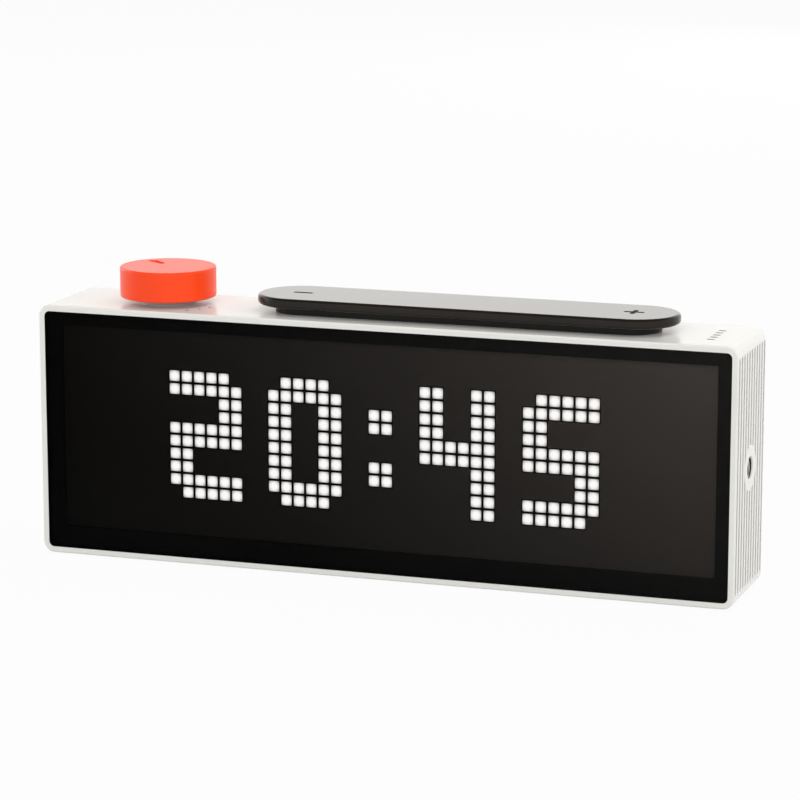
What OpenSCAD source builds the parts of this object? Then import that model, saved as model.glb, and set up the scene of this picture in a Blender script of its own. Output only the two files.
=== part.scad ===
// Smart pixel clock: a fluted sleeve housing with a dot-matrix display behind a
// smoked front panel, a push-and-turn knob and a long rocker key on its top.
// Millimetres. X runs to the right, the front faces -Y, Z is up.
// The origin is below the middle of the body, on the surface it stands on.

/* [Body] */
// Width of the housing
body_w = 218.6; // [200:0.1:260]
// Height of the housing, without its feet
body_h = 77.5; // [70:0.1:100]
// Depth of the housing, front to back
body_d = 34.4; // [32:0.1:50]
// Wall of the housing, which is also the rim round the front panel
wall = 1.85; // [1.6:0.05:2.4]
// Radius of the four long corners
corner_r = 3.5; // [3:0.1:6]
// Rounding of the front and back edges
edge_r = 0.5; // [0.4:0.1:1.4]
// How far the rubber feet stand below the housing
foot_h = 1.0; // [0.6:0.1:3]
// Diameter of a foot
foot_d = 9; // [6:0.5:14]
// Distance of a foot's middle from the side of the housing
foot_inset = 18; // [12:1:40]

/* [Side flutes] */
// Flutes on each side
flute_count = 11; // [3:1:11]
// Spacing of the flutes
flute_pitch = 3.1; // [2:0.05:3.1]
// Width of one flute
flute_w = 1.5; // [1.4:0.1:1.9]
// Depth of one flute
flute_depth = 0.7; // [0.2:0.05:0.7]
// Diameter of the flat land round the mounting thread
land_d = 13.7; // [11:0.1:18]

/* [Mounting thread] */
// Diameter of the bore in the threaded insert (quarter-inch tripod thread)
insert_bore_d = 6.35; // [5:0.05:7]
// Outside diameter of the insert
insert_d = 8.8; // [8:0.1:10]
// Length of the insert
insert_l = 9; // [6:0.5:12]
// Depth of the bore
insert_bore_l = 8; // [5:0.5:8]

/* [Display] */
// Thickness of the front panel
panel_t = 2; // [1:0.1:3]
// Thickness of the adhesive tape behind the panel
tape_t = 0.2; // [0.1:0.05:0.5]
// Spacing of the pixels
pixel_pitch = 4; // [3:0.1:5]
// Wall between two pixel cells
cell_wall = 0.6; // [0.4:0.1:1]
// Depth of a pixel cell
cell_depth = 3.6; // [2:0.1:4]
// Least border between the pixels and the side of the panel
side_border = 3.2; // [2.6:0.1:8]
// Least border between the pixels and the panel's top and bottom, both together
end_border = 9.6; // [8:0.1:16]
// How far the middle of the display lies above the middle of the body
display_rise = 1; // [0:0.1:1.5]
// Thickness of the diffuser sheet
diffuser_t = 0.6; // [0.3:0.1:1]

/* [Knob] */
// Diameter of the knob
knob_d = 29.4; // [24:0.1:34]
// Height of the knob
knob_h = 9.2; // [7:0.05:14]
// Gap between the knob and the top of the body
knob_gap = 2.05; // [2:0.05:4]
// Distance of the knob's axis from the left side of the body
knob_inset = 35.7; // [24:0.1:40]
// Travel of the knob when it is pressed
knob_press = 0.5; // [0.2:0.05:0.8]
// Length of the pointer notch in the knob's top
pointer_l = 7.6; // [5:0.1:9]
// Width of the pointer notch
pointer_w = 3; // [2:0.1:4]
// Depth of the pointer notch at its steep side
pointer_depth = 0.5; // [0.2:0.05:0.8]
// Diameter of the fixed collar under the knob
collar_d = 16.9; // [15:0.1:20]
// Diameter of the encoder shaft
shaft_d = 6; // [5:0.1:6]

/* [Rocker key] */
// Width of the rocker key, front to back
key_w = 26.2; // [22:0.1:27]
// Thickness of the rocker key
key_t = 3.05; // [2.4:0.05:3.6]
// Height of the base that shows under the key
base_h = 1.55; // [1.4:0.05:4]
// Width of that base, front to back
base_w = 18; // [16:0.1:20]
// Gap between the base and the key at rest
key_gap = 0.75; // [0.7:0.05:1.5]
// Gap between the knob and the left end of the key
key_left_gap = 15.6; // [8:0.1:30]
// Distance of the key's right end from the right side of the body
key_right_inset = 21.8; // [20:0.1:40]
// How far the base stays inside the ends of the key
base_inset = 5.5; // [4:0.1:8]
// Diameter of the key's hinge pin
pin_d = 3; // [2:0.1:3.4]

/* [Top openings] */
// Sound slits at the right end of the top
slit_count = 5; // [1:1:6]
// Spacing of the slits
slit_pitch = 3.6; // [2:0.1:4]
// Length of one slit
slit_l = 2.4; // [1:0.1:4]
// Width of one slit
slit_w = 1.1; // [0.4:0.1:1.2]
// Distance of the slits from the right side of the body
slit_inset = 10.75; // [8:0.05:12]
// Diameter of the three small holes beside the knob
dot_d = 1.1; // [0.8:0.1:1.4]

/* [Back] */
// Thickness of the rear cover
cover_t = 2; // [1.6:0.1:2.4]
// Diameter of one hole of the speaker grille
grille_hole_d = 1.6; // [1:0.1:2]
// Rings of holes in the speaker grille
grille_rings = 4; // [2:1:4]
// Distance of a cover screw from the side of the body
screw_inset_x = 21.3; // [15:0.1:24]
// Distance of a cover screw from the top or bottom of the body
screw_inset_z = 4.9; // [4.7:0.1:5.5]

/* [Inside] */
// Diameter of the loudspeaker
speaker_d = 40; // [30:1:44]
// Depth of the loudspeaker
speaker_h = 12; // [9:0.5:14]
// Width of the battery
battery_w = 60; // [40:1:66]
// Height of the battery
battery_l = 46; // [30:1:56]
// Thickness of the battery
battery_t = 7; // [4:0.5:9]
// Width of the main board
board_w = 66; // [50:1:70]
// Height of the main board
board_l = 46; // [36:1:50]

/* [Hidden] */
$fn = 64;
// Gap round pieces that are set into the housing
fit_gap = 0.1;
// Radial running clearance of shafts and pins
run_gap = 0.05;
// Radial clearance of posts and blocks that pass through a wall
pass_gap = 0.3;
// Overshoot of cutters past the face they open
cut = 1;
// Overlap of shapes that join into one solid
lap = 0.1;
// How far bosses root into the wall they stand on
root = wall / 2;

half_w = body_w / 2;
front_y = -body_d / 2;
mid_z = foot_h + body_h / 2;
top_z = foot_h + body_h;
inner_w = body_w - 2 * wall;
inner_h = body_h - 2 * wall;
inner_r = corner_r - wall;
ceiling_z = top_z - wall;

// Rear of the body, as depths behind the front
cover_depth = body_d - cover_t;
flange_t = 1.4;
flange_w = 1.2;

// Display stack, as depths behind the front of the body
seat_depth = panel_t + tape_t;
ledge_t = 1.2;
ledge_depth = seat_depth + ledge_t;
rim_rise = ledge_t - fit_gap;
rim_depth = ledge_depth - rim_rise;
cell_front = ledge_depth + diffuser_t;
baffle_depth = cell_front + cell_depth / 2;
layer_gap = 0.05;
led_depth = cell_front + cell_depth;
led_board_t = 1.2;
led_back = led_depth + led_board_t;
pixel_cols = floor((inner_w - 2 * side_border) / pixel_pitch);
pixel_rows = floor((inner_h - end_border) / pixel_pitch);
matrix_w = pixel_cols * pixel_pitch;
matrix_h = pixel_rows * pixel_pitch;
display_z = mid_z + display_rise;
// The diffuser ends a little inside the outer cells, and the baffle's rim round it
// fills the opening in the ledge
side_trim = 1.25;
end_trim = 0.55;
diffuser_w = matrix_w - 2 * side_trim;
diffuser_h = matrix_h - 2 * end_trim;
diffuser_lap = 0.5;
rim_side = 1;
rim_end = 0.5;
rim_w = matrix_w + 2 * rim_side;
rim_h = matrix_h + 2 * rim_end;
// The baffles and the light board go in from the back, past the flange
frame_w = inner_w - 2 * (flange_w + fit_gap);
frame_h = inner_h - 2 * (flange_w + fit_gap);
frame_screw_x = matrix_w / 2 - 6;
frame_screw_z = frame_h / 2 - 1.4;
panel_r = inner_r - fit_gap;

// Side flutes and their ends, which stop where the corner rounding begins
flute_r = (pow(flute_w / 2, 2) + pow(flute_depth, 2)) / (2 * flute_depth);
flute_z = body_h / 2 - corner_r;
insert_wall = 1.6;
insert_boss_d = insert_d + 2 * insert_wall;
insert_floor = 1;
// The insert is moulded in, behind a chamfered mouth in the side
mouth_chamfer = 0.4;
insert_boss_l = mouth_chamfer + insert_l + insert_floor - wall;

// Knob and encoder
knob_x = -half_w + knob_inset;
knob_r = knob_d / 2;
knob_z = top_z + knob_gap;
knob_top = knob_z + knob_h;
knob_wall = 2;
roof_t = 2.4;
knob_edge_r = 0.5;
hub_d = 10;
pointer_lip = 0.1;
pointer_slope = atan((pointer_depth - pointer_lip) / pointer_w);
pointer_reach = 7.7;
pointer_angle = 139;
bush_d = shaft_d + 1;
washer_t = 0.5;
nut_t = 2;
nut_flats = 10;
washer_lap = 0.8;
bush_spare = 1.6;
bush_rise = washer_t + nut_t + bush_spare;
press_clear = 0.35;
hub_z = top_z + bush_rise + knob_press + press_clear;
shaft_top = knob_top - roof_t - pass_gap;
flat_cut = 1.5;
encoder_w = 12;
encoder_h = 6.5;
encoder_board_w = encoder_w + 2;
shaft_drop = 3;
shaft_low = ceiling_z - shaft_drop;
plunger_d = 4.8;
plunger_h = 1.6;
collar_h = bush_rise - pass_gap;
collar_wall = 2.1;
circuit_t = 1.2;
circuit_r = 1;

// Rocker key
key_left = knob_x + knob_r + key_left_gap;
key_right = half_w - key_right_inset;
key_l = key_right - key_left;
key_x = (key_left + key_right) / 2;
base_l = key_l - 2 * base_inset;
base_top = top_z + base_h;
key_z = base_top + key_gap;
key_edge_r = 1.1;
post_inset = 18;
post_x = key_l / 2 - post_inset;
post_d = 3.6;
pin_drop = 1;
pin_z = top_z - pin_drop;
block_l = 12;
block_inset = 1.5;
block_w = base_w - 2 * block_inset;
block_drop = 5;
lug_l = 6;
lug_w = 6.4;
lug_gap = 0.6;
rocker_board_drop = 9.2;
rocker_board_z = top_z - rocker_board_drop;
rocker_board_w = 12;
switch_w = 6;
switch_h = 2.5;
button_d = 3;
button_h = 1;
switch_gap = 0.5;
rocker_boss_d = 5;
rocker_boss_inset = 14;
rocker_boss_x = post_x - rocker_boss_inset;

// Screws
screw_d = 2.4;
screw_head_d = 4.4;
screw_head_t = 1.4;
screw_l = 9;
screw_end = 0.5;
screw_boss_d = 6.4;
screw_boss_l = 13;
small_screw_d = 1.9;
small_head_d = 3.6;
small_head_t = 1.1;
small_screw_l = 5;
tiny_screw_d = 1.5;
tiny_head_d = 2.6;
tiny_head_t = 0.8;
tiny_screw_l = 3.8;

// Openings and the sensor board under the slits, behind the heads of the frame screws
slit_x = half_w - slit_inset;
dot_count = 3;
dot_reach = 16.1;
dot_angle = -32;
dot_step = 15.2;
sensor_drop = 4;
sensor_w = 9;
sensor_l = body_d - 2 * (led_back + tiny_head_t + 2 * pass_gap);
sensor_boss_d = 3;
sensor_boss_x = (sensor_w - sensor_boss_d) / 2;
sensor_boss_y = (sensor_l - sensor_boss_d) / 2;
chip_w = 4;
chip_h = 1.2;

// Inside the back
speaker_inset = 50;
speaker_x = -half_w + speaker_inset;
speaker_lip = 3;
basket_t = 2;
magnet_r = speaker_d * 0.275;
magnet_h = 4;
cone_t = 1;
cone_rise = 0.6;
cap_r = 6;
cap_rise = 3.4;
surround_w = 2.4;
board_inset = 64;
board_x = half_w - board_inset;
board_t = 1.6;
module_w = 18;
module_l = 25;
module_t = 3.2;
module_x = board_x + 12;
module_z = mid_z + 6;
standoff_h = 6.5;
standoff_d = 5;
standoff_inset = 3.5;
standoff_floor = 1;
board_depth = cover_depth - standoff_h - board_t;
usb_w = 9;
usb_h = 3.3;
usb_x = board_x;
usb_rise = 8;
usb_z = mid_z - board_l / 2 + usb_rise;
usb_sink = 0.4;
usb_wall = 0.35;
usb_floor = 2;
tongue_w = 6.6;
tongue_t = 0.7;
tongue_sink = 0.8;
ribbon_t = 0.3;
ribbon_w = 14;
ribbon_leg = 10;
ribbon_x = board_x - board_w / 2 + 2 * ribbon_leg;
pad_t = 0.5;
pad_inset = 4;
cable_gap = 5.6;
battery_x = ribbon_x - ribbon_leg - cable_gap - battery_w / 2;
battery_r = 2;
grille_pitch = 3.4;

// Feet
foot_edge = 6;
foot_y = body_d / 2 - foot_d / 2 - foot_edge;
foot_seat = wall / 3;

// Shared shapes

// Rectangle with round corners
module round_rect(w, h, r) {
  square([w - 2 * r, h], center = true);
  square([w, h - 2 * r], center = true);
  for (sx = [-1, 1], sy = [-1, 1])
    translate([sx * (w / 2 - r), sy * (h / 2 - r)])
      circle(r);
}

// Stadium outline, long along X
module stadium(l, w) {
  square([l - w, w], center = true);
  for (s = [-1, 1])
    translate([s * (l - w) / 2, 0])
      circle(d = w);
}

// Stands a drawing up, facing the front, between two depths behind the body's front
module upright(from, to, x = 0, z = mid_z) {
  translate([x, front_y + to, z])
    rotate([90, 0, 0])
      linear_extrude(to - from)
        children();
}

// Lays a drawing down between two heights
module flat(from, to, x = 0, y = 0) {
  translate([x, y, from])
    linear_extrude(to - from)
      children();
}

// A round bar along Y between two depths
module bar_y(d, from, to, x, z) {
  translate([x, front_y + to, z])
    rotate([90, 0, 0])
      cylinder(d = d, h = to - from);
}

// Section of a rounded edge, seen along the edge: u outwards, v front to back
module edge_section() {
  translate([0, -body_d / 2])
    square([corner_r - edge_r, body_d]);
  translate([0, edge_r - body_d / 2])
    square([corner_r, body_d - 2 * edge_r]);
  for (s = [-1, 1])
    translate([corner_r - edge_r, s * (body_d / 2 - edge_r)])
      circle(edge_r);
}

// The body's outer form: long corners with a large radius, front and back edges with a small one
module body_form() {
  flat_w = body_w - 2 * corner_r;
  flat_h = body_h - 2 * corner_r;
  translate([0, 0, mid_z]) {
    cube([flat_w, body_d, flat_h], center = true);
    for (turn = [0, 180])
      rotate([0, turn, 0])
        translate([flat_w / 2, 0, 0])
          linear_extrude(flat_h, center = true)
            edge_section();
    for (turn = [90, 270])
      rotate([0, turn, 0])
        translate([flat_h / 2, 0, 0])
          linear_extrude(flat_w, center = true)
            edge_section();
    for (quarter = [0:3])
      translate([(quarter < 2 ? 1 : -1) * flat_w / 2, 0, (quarter % 3 == 0 ? 1 : -1) * flat_h / 2])
        rotate([0, 90 * quarter, 0])
          rotate([90, 0, 0])
            rotate_extrude(angle = 90)
              edge_section();
  }
}

// Cutter for a groove: a round bar with round ends, turned from half its outline
module groove_cutter(r, half) {
  rotate_extrude()
    intersection() {
      union() {
        square([2 * r, 2 * (half - r)], center = true);
        for (s = [-1, 1])
          translate([0, s * (half - r)])
            circle(r);
      }
      translate([0, -half - cut])
        square([2 * r, 2 * (half + cut)]);
    }
}

// A row of flutes along one side
module flute_row(side) {
  for (i = [0:flute_count - 1])
    translate([
      side * (half_w - flute_depth + flute_r),
      (i - (flute_count - 1) / 2) * flute_pitch,
      mid_z
    ])
      groove_cutter(flute_r, flute_z);
}

// Places children at the four cover screws
module at_cover_screws() {
  for (sx = [-1, 1], sz = [-1, 1])
    translate([sx * (half_w - screw_inset_x), 0, mid_z + sz * (body_h / 2 - screw_inset_z)])
      children();
}

// Places children at the four standoffs of the main board
module at_standoffs() {
  for (sx = [-1, 1], sz = [-1, 1])
    translate([
      board_x + sx * (board_w / 2 - standoff_inset),
      0,
      mid_z + sz * (board_l / 2 - standoff_inset)
    ])
      children();
}

// Places children at the two ends of the rocker key's posts
module at_posts(reach = post_x) {
  for (s = [-1, 1])
    translate([key_x + s * reach, 0, 0])
      children();
}

// Places children at the six screws along the edges of the display frame
module at_frame_screws() {
  for (sx = [-1, 0, 1], sz = [-1, 1])
    translate([sx * frame_screw_x, 0, mid_z + sz * frame_screw_z])
      children();
}

// Fixed pieces of the case

// Sleeve housing: rim, ledge for the display, flutes, bosses and the holes in its top
module housing() {
  color("whitesmoke")
  difference() {
    union() {
      difference() {
        body_form();
        upright(-cut, seat_depth)
          round_rect(inner_w, inner_h, inner_r);
        upright(seat_depth - cut, ledge_depth + cut, z = display_z)
          square([rim_w + 2 * fit_gap, rim_h + 2 * fit_gap], center = true);
        upright(ledge_depth, cover_depth - flange_t)
          round_rect(inner_w, inner_h, inner_r);
        upright(cover_depth - flange_t - cut, cover_depth + cut)
          square([inner_w - 2 * flange_w, inner_h - 2 * flange_w], center = true);
        upright(cover_depth, body_d + cut)
          round_rect(inner_w, inner_h, inner_r);
      }
      at_cover_screws()
        bar_y(screw_boss_d, cover_depth - screw_boss_l, cover_depth, 0, 0);
      translate([half_w - wall - insert_boss_l, 0, mid_z])
        rotate([0, 90, 0])
          cylinder(d = insert_boss_d, h = insert_boss_l + root);
      at_posts(rocker_boss_x)
        flat(rocker_board_z + circuit_t, ceiling_z + root)
          circle(d = rocker_boss_d);
      for (s = [-1, 1])
        flat(ceiling_z - sensor_drop, ceiling_z + root, slit_x + s * sensor_boss_x, s * sensor_boss_y)
          circle(d = sensor_boss_d);
    }
    difference() {
      union() {
        flute_row(1);
        flute_row(-1);
      }
      translate([half_w - wall, 0, mid_z])
        rotate([0, 90, 0])
          cylinder(d = land_d, h = 2 * wall);
    }
    translate([half_w, 0, mid_z])
      rotate([0, 90, 0]) {
        translate([0, 0, -mouth_chamfer - insert_l])
          cylinder(d = insert_d, h = insert_l);
        translate([0, 0, -mouth_chamfer])
          cylinder(d1 = insert_bore_d, d2 = insert_bore_d + 4 * mouth_chamfer, h = 2 * mouth_chamfer);
      }
    at_cover_screws()
      bar_y(screw_d + 2 * run_gap, cover_depth - screw_l, cover_depth + cut, 0, 0);
    flat(ceiling_z - cut, top_z + cut, knob_x)
      circle(d = bush_d + 2 * run_gap);
    for (i = [0:dot_count - 1]) {
      angle = dot_angle + (i - (dot_count - 1) / 2) * dot_step;
      flat(ceiling_z - cut, top_z + cut, knob_x + dot_reach * cos(angle), dot_reach * sin(angle))
        circle(d = dot_d);
    }
    for (i = [0:slit_count - 1])
      flat(ceiling_z - cut, top_z + cut, slit_x, (i - (slit_count - 1) / 2) * slit_pitch)
        stadium(slit_l, slit_w);
    flat(ceiling_z - cut, top_z + cut, key_x)
      square([block_l + 2 * fit_gap, block_w + 2 * fit_gap], center = true);
    at_posts()
      flat(ceiling_z - cut, top_z + cut)
        circle(d = post_d + 4 * pass_gap);
    at_posts(rocker_boss_x)
      flat(rocker_board_z, rocker_board_z + small_screw_l)
        circle(d = small_screw_d + 2 * run_gap);
    at_feet()
      flat(foot_h - cut, foot_h + foot_seat)
        circle(d = foot_d + 2 * fit_gap);
  }
}

// Rear cover: speaker grille, opening for the charging port, screw seats and standoffs
module rear_cover() {
  color("whitesmoke")
  difference() {
    union() {
      upright(cover_depth, body_d)
        round_rect(inner_w - 2 * fit_gap, inner_h - 2 * fit_gap, panel_r);
      at_standoffs()
        bar_y(standoff_d, cover_depth - standoff_h, cover_depth + root, 0, 0);
    }
    at_cover_screws() {
      bar_y(screw_d + 2 * pass_gap, cover_depth - cut, body_d + cut, 0, 0);
      bar_y(screw_head_d + 2 * fit_gap, body_d - screw_head_t, body_d + cut, 0, 0);
    }
    at_standoffs()
      bar_y(small_screw_d + 2 * run_gap, cover_depth - standoff_h - cut, cover_depth - standoff_floor, 0, 0);
    upright(cover_depth - cut, body_d + cut, usb_x, usb_z)
      stadium(usb_w + 4 * fit_gap, usb_h + 4 * fit_gap);
    for (ring = [0:grille_rings], i = [0:max(6 * ring, 1) - 1])
      rotate_grille(i * 360 / max(6 * ring, 1), ring * grille_pitch)
        bar_y(grille_hole_d, cover_depth - cut, body_d + cut, 0, 0);
  }
}

// Places children on one ring of the speaker grille
module rotate_grille(angle, reach) {
  translate([speaker_x + reach * cos(angle), 0, mid_z + reach * sin(angle)])
    children();
}

// Smoked front panel
module front_panel() {
  color([0.09, 0.085, 0.085])
    upright(0, panel_t)
      round_rect(inner_w - 2 * fit_gap, inner_h - 2 * fit_gap, panel_r);
}

// Adhesive frame between the panel and the housing's ledge
module panel_tape() {
  color("black")
  difference() {
    upright(panel_t, seat_depth)
      round_rect(inner_w - 4 * fit_gap, inner_h - 4 * fit_gap, panel_r);
    upright(panel_t - cut, seat_depth + cut, z = display_z)
      square([rim_w, rim_h], center = true);
  }
}

// Diffuser sheet, in the pocket at the front of the pixel frame
module diffuser() {
  color([0.2, 0.19, 0.18])
    upright(ledge_depth, cell_front, z = display_z)
      square([diffuser_w, diffuser_h], center = true);
}

// Column baffle: one slot for each column of pixels, with a rim that holds the diffuser
module column_baffle() {
  color([0.12, 0.12, 0.12])
  difference() {
    union() {
      upright(rim_depth, ledge_depth + cut, z = display_z)
        square([rim_w, rim_h], center = true);
      upright(ledge_depth, baffle_depth - layer_gap)
        square([frame_w, frame_h], center = true);
    }
    upright(rim_depth - cut, cell_front, z = display_z)
      square([diffuser_w + 2 * fit_gap, diffuser_h + 2 * fit_gap], center = true);
    upright(ledge_depth, baffle_depth + cut, z = display_z)
      for (c = [0:pixel_cols - 1])
        translate([(c - (pixel_cols - 1) / 2) * pixel_pitch, 0])
          square([pixel_pitch - cell_wall, diffuser_h - 2 * diffuser_lap], center = true);
    at_frame_screws()
      bar_y(tiny_screw_d + 2 * run_gap, led_back - tiny_screw_l - pass_gap, baffle_depth + cut, 0, 0);
  }
}

// Row baffle: one slot for each row, which crosses the columns and closes each pixel's cell
module row_baffle() {
  color([0.12, 0.12, 0.12])
  difference() {
    upright(baffle_depth, led_depth)
      square([frame_w, frame_h], center = true);
    upright(baffle_depth - cut, led_depth + cut, z = display_z)
      for (r = [0:pixel_rows - 1])
        translate([0, (r - (pixel_rows - 1) / 2) * pixel_pitch])
          square([matrix_w, pixel_pitch - cell_wall], center = true);
    at_frame_screws()
      bar_y(tiny_screw_d + 2 * run_gap, baffle_depth - cut, led_depth + cut, 0, 0);
  }
}

// Board that carries the lights
module led_board() {
  color("darkgreen")
  difference() {
    upright(led_depth, led_back)
      square([frame_w, frame_h], center = true);
    at_frame_screws()
      bar_y(tiny_screw_d + pass_gap, led_depth - cut, led_back + cut, 0, 0);
  }
}

// Main board behind the display
module main_board() {
  color("darkgreen")
  difference() {
    upright(board_depth, board_depth + board_t, board_x)
      square([board_w, board_l], center = true);
    at_standoffs()
      bar_y(small_screw_d + pass_gap, board_depth - cut, board_depth + board_t + cut, 0, 0);
  }
}

// Shielded radio module on the front of the main board
module wireless_module() {
  color("silver")
    upright(board_depth - module_t, board_depth, module_x, module_z)
      square([module_w, module_l], center = true);
}

// Charging port: a flat shell with a tongue, standing on the main board
module usb_port() {
  color("lightgray") {
    difference() {
      upright(board_depth + board_t, body_d - usb_sink, usb_x, usb_z)
        stadium(usb_w, usb_h);
      upright(board_depth + board_t + usb_floor, body_d, usb_x, usb_z)
        stadium(usb_w - 2 * usb_wall, usb_h - 2 * usb_wall);
    }
    upright(board_depth + board_t + usb_floor - lap, body_d - usb_sink - tongue_sink, usb_x, usb_z)
      square([tongue_w, tongue_t], center = true);
  }
}

// Flat cable from the light board to the main board, folded twice
module led_ribbon() {
  color("wheat")
    translate([ribbon_x, front_y, mid_z - ribbon_w / 2])
      linear_extrude(ribbon_w) {
        translate([-ribbon_leg, led_back])
          square([ribbon_leg, ribbon_t]);
        translate([-ribbon_t, led_back])
          square([ribbon_t, board_depth - led_back]);
        translate([-ribbon_t, board_depth - ribbon_t])
          square([ribbon_leg, ribbon_t]);
      }
}

// Battery pack
module battery() {
  color("slategray")
    upright(led_back + pad_t, led_back + pad_t + battery_t, battery_x)
      round_rect(battery_w, battery_l, battery_r);
}

// Foam pad that sticks the battery to the light board
module battery_pad() {
  color("dimgray")
    upright(led_back, led_back + pad_t, battery_x)
      square([battery_w - 2 * pad_inset, battery_l - 2 * pad_inset], center = true);
}

// Loudspeaker basket and magnet, turned
module speaker_frame() {
  r = speaker_d / 2;
  color("dimgray")
    translate([speaker_x, front_y + cover_depth, mid_z])
      rotate([90, 0, 0])
        rotate_extrude()
          polygon([
            [r - speaker_lip, 0], [r, 0], [r, basket_t], [r - 2 * basket_t, 2 * basket_t],
            [magnet_r, speaker_h - magnet_h], [magnet_r, speaker_h], [0, speaker_h],
            [0, speaker_h - basket_t], [magnet_r - basket_t, speaker_h - magnet_h],
            [r - speaker_lip - basket_t, 1.5 * basket_t], [r - speaker_lip, basket_t]
          ]);
}

// Loudspeaker cone with its surround and dust cap
module speaker_cone() {
  r = speaker_d / 2 - speaker_lip - fit_gap;
  color("black")
    translate([speaker_x, front_y + cover_depth, mid_z])
      rotate([90, 0, 0])
        rotate_extrude()
          polygon([
            [r, cone_rise], [r, cone_rise + cone_t], [r - surround_w, cone_rise + cone_t],
            [cap_r, cap_rise + cone_t], [0, cap_rise + cone_t], [0, cap_rise], [cap_r, cap_rise],
            [r - surround_w, cone_rise]
          ]);
}

// Encoder: a square case with a threaded neck that passes through the top
module encoder_body() {
  color("gray")
  difference() {
    union() {
      flat(ceiling_z - encoder_h, ceiling_z, knob_x)
        square(encoder_w, center = true);
      flat(ceiling_z - cut, top_z + bush_rise, knob_x)
        circle(d = bush_d);
    }
    flat(shaft_low - plunger_h - knob_press - pass_gap, top_z + bush_rise + cut, knob_x)
      circle(d = shaft_d + 2 * run_gap);
  }
}

// Washer under the encoder nut
module encoder_washer() {
  color("silver")
  difference() {
    flat(top_z, top_z + washer_t, knob_x)
      circle(d = nut_flats + 2 * washer_lap);
    flat(top_z - cut, top_z + washer_t + cut, knob_x)
      circle(d = bush_d + 2 * run_gap);
  }
}

// Nut that holds the encoder to the top
module encoder_nut() {
  color("silver")
  difference() {
    flat(top_z + washer_t, top_z + washer_t + nut_t, knob_x)
      circle(d = nut_flats / cos(30), $fn = 6);
    flat(top_z, top_z + bush_rise, knob_x)
      circle(d = bush_d + 2 * run_gap);
  }
}

// Small board under the encoder
module encoder_board() {
  color("darkgreen")
    flat(ceiling_z - encoder_h - circuit_t, ceiling_z - encoder_h, knob_x)
      round_rect(encoder_board_w, encoder_board_w, circuit_r);
}

// Fixed collar that fills the gap under the knob and hides the nut
module knob_collar() {
  color("gainsboro")
  difference() {
    flat(top_z, top_z + collar_h, knob_x)
      circle(d = collar_d);
    flat(top_z - cut, top_z + collar_h + cut, knob_x)
      circle(d = collar_d - 2 * collar_wall);
  }
}

// Base of the rocker key, with a block through the top that carries the hinge pin
module rocker_base() {
  color([0.11, 0.11, 0.11])
  difference() {
    union() {
      flat(top_z, base_top, key_x)
        stadium(base_l, base_w);
      flat(top_z - block_drop, base_top, key_x)
        square([block_l, block_w], center = true);
    }
    flat(top_z - block_drop - cut, base_top + cut, key_x)
      square([lug_l + 2 * lug_gap, lug_w + 2 * lug_gap], center = true);
    pin_bar(pin_d, block_w + 2 * cut);
    at_posts()
      flat(top_z - cut, base_top + cut)
        circle(d = post_d + 4 * pass_gap);
  }
}

// A round bar along the hinge axis of the rocker key
module pin_bar(d, l) {
  translate([key_x, l / 2, pin_z])
    rotate([90, 0, 0])
      cylinder(d = d, h = l);
}

// Hinge pin of the rocker key
module rocker_pin() {
  color("silver")
    pin_bar(pin_d, block_w);
}

// Board under the rocker key, hung from two bosses of the housing
module rocker_board() {
  color("darkgreen")
  difference() {
    flat(rocker_board_z, rocker_board_z + circuit_t, key_x)
      round_rect(2 * (post_x + switch_w), rocker_board_w, circuit_r);
    at_posts(rocker_boss_x)
      flat(rocker_board_z - cut, rocker_board_z + circuit_t + cut)
        circle(d = small_screw_d + pass_gap);
  }
}

// The two switches under the key's posts
module rocker_switches() {
  low = rocker_board_z + circuit_t;
  color("silver")
    at_posts() {
      flat(low, low + switch_h)
        square(switch_w, center = true);
      flat(low + switch_h - button_h, low + switch_h + button_h)
        circle(d = button_d);
    }
}

// Microphone and light sensor board under the slits
module sensor_board() {
  low = ceiling_z - sensor_drop - circuit_t;
  color("darkgreen") {
    flat(low, low + circuit_t, slit_x)
      round_rect(sensor_w, sensor_l, circuit_r);
    flat(low + circuit_t / 2, low + circuit_t + chip_h, slit_x)
      square(chip_w, center = true);
  }
}

// Threaded insert in the right side, for a tripod or a magic arm
module mount_insert() {
  color("darkgoldenrod")
    translate([half_w - mouth_chamfer, 0, mid_z])
      rotate([0, 90, 0])
        difference() {
          translate([0, 0, -insert_l])
            cylinder(d = insert_d, h = insert_l);
          translate([0, 0, -insert_bore_l])
            cylinder(d = insert_bore_d, h = insert_bore_l + cut);
        }
}

// Screws of the rear cover
module cover_screws() {
  color("silver")
    at_cover_screws() {
      bar_y(screw_head_d, body_d - screw_head_t, body_d, 0, 0);
      bar_y(screw_d, cover_depth - screw_l + screw_end, body_d - screw_head_t + lap, 0, 0);
    }
}

// Screws of the three boards
module board_screws() {
  color("silver") {
    at_standoffs() {
      bar_y(small_head_d, board_depth - small_head_t, board_depth, 0, 0);
      bar_y(small_screw_d, board_depth - lap, board_depth + small_screw_l, 0, 0);
    }
    at_posts(rocker_boss_x) {
      flat(rocker_board_z - small_head_t, rocker_board_z)
        circle(d = small_head_d);
      flat(rocker_board_z - lap, rocker_board_z + small_screw_l - screw_end)
        circle(d = small_screw_d);
    }
    at_frame_screws() {
      bar_y(tiny_head_d, led_back, led_back + tiny_head_t, 0, 0);
      bar_y(tiny_screw_d, led_back - tiny_screw_l, led_back + lap, 0, 0);
    }
  }
}

// Places children at the four feet
module at_feet() {
  for (sx = [-1, 1], sy = [-1, 1])
    translate([sx * (half_w - foot_inset), sy * foot_y, 0])
      children();
}

// Rubber feet, set into shallow seats in the bottom
module feet() {
  color([0.15, 0.15, 0.15])
    at_feet()
      flat(0, foot_h + foot_seat)
        circle(d = foot_d);
}

// Pieces that move

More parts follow.
